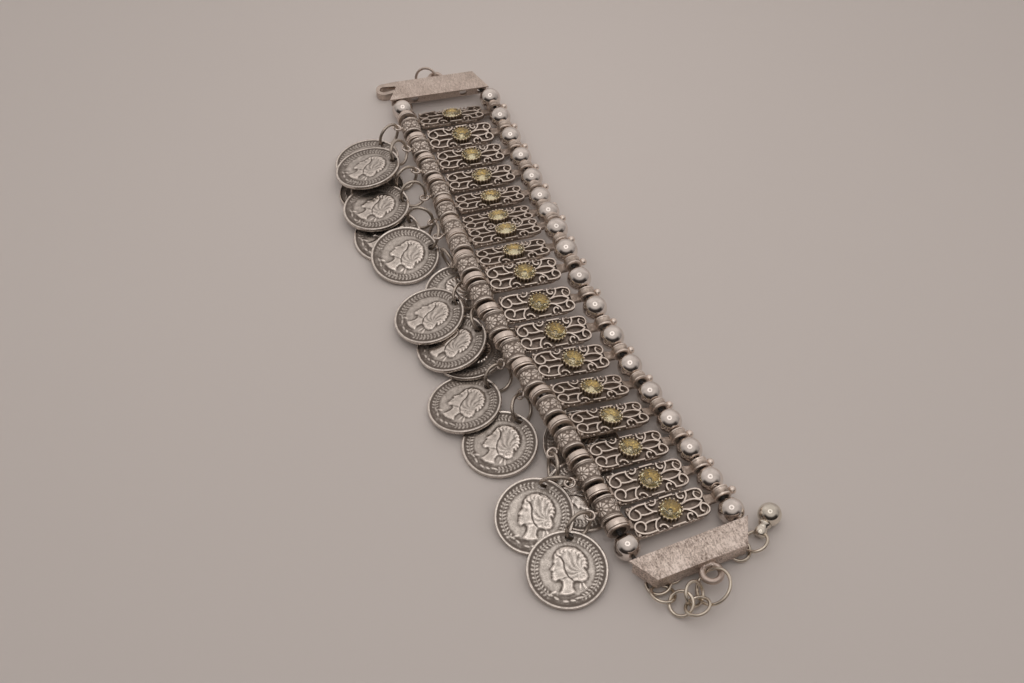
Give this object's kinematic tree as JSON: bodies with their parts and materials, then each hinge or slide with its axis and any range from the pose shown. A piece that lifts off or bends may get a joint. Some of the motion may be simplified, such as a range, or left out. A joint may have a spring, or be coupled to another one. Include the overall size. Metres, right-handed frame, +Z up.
{
  "type": "coin bracelet",
  "caption": "Two-strand bracelet of antiqued silver lying open: filigree plates with yellow stones between a strand of round beads and a strand of patterned beads with hanging coins",
  "frame": {"origin": "middle of the whole outline, on the table that the bracelet lies on", "axes": "+Y along the bracelet towards the clasp, +X towards the round beads, +Z up"},
  "size_m": [0.0629, 0.1872, 0.0141],
  "materials": {
    "plate_silver": "oxidised in the recesses, polished on the raised wires",
    "charm_silver": "oxidised relief",
    "bead_silver": "polished",
    "coin_silver": "oxidised field, worn bright relief",
    "bar_silver": "hammered",
    "chain_silver": "bright drawn wire",
    "stone": "faceted"
  },
  "bodies": {
    "root": {"bar_near": "bar_silver", "bar_far": "bar_silver", "stones": "stone", "right_strand": "bead_silver", "left_strand": "bead_silver", "jump_rings": "chain_silver", "extension_chain": "chain_silver", "drop_ball": "chain_silver", "clasp": "chain_silver", "plate_01": "plate_silver", "plate_02": "plate_silver", "plate_03": "plate_silver", "plate_04": "plate_silver", "plate_05": "plate_silver", "plate_06": "plate_silver", "plate_07": "plate_silver", "plate_08": "plate_silver", "plate_09": "plate_silver", "plate_10": "plate_silver", "plate_11": "plate_silver", "plate_12": "plate_silver", "plate_13": "plate_silver", "plate_14": "plate_silver", "plate_15": "plate_silver", "plate_16": "plate_silver", "plate_17": "plate_silver", "charm_bead_01": "charm_silver", "charm_bead_02": "charm_silver", "charm_bead_03": "charm_silver", "charm_bead_04": "charm_silver", "charm_bead_05": "charm_silver", "charm_bead_06": "charm_silver", "charm_bead_07": "charm_silver", "charm_bead_08": "charm_silver", "charm_bead_09": "charm_silver", "charm_bead_10": "charm_silver", "charm_bead_11": "charm_silver", "charm_bead_12": "charm_silver", "charm_bead_13": "charm_silver", "charm_bead_14": "charm_silver", "charm_bead_15": "charm_silver", "charm_bead_16": "charm_silver", "coin_01": "coin_silver", "coin_02": "coin_silver", "coin_03": "coin_silver", "coin_04": "coin_silver", "coin_05": "coin_silver", "coin_06": "coin_silver", "coin_07": "coin_silver", "coin_08": "coin_silver", "coin_09": "coin_silver", "coin_10": "coin_silver", "coin_11": "coin_silver", "coin_12": "coin_silver", "coin_13": "coin_silver", "coin_14": "coin_silver", "coin_15": "coin_silver", "coin_16": "coin_silver"}
  },
  "joints": []
}
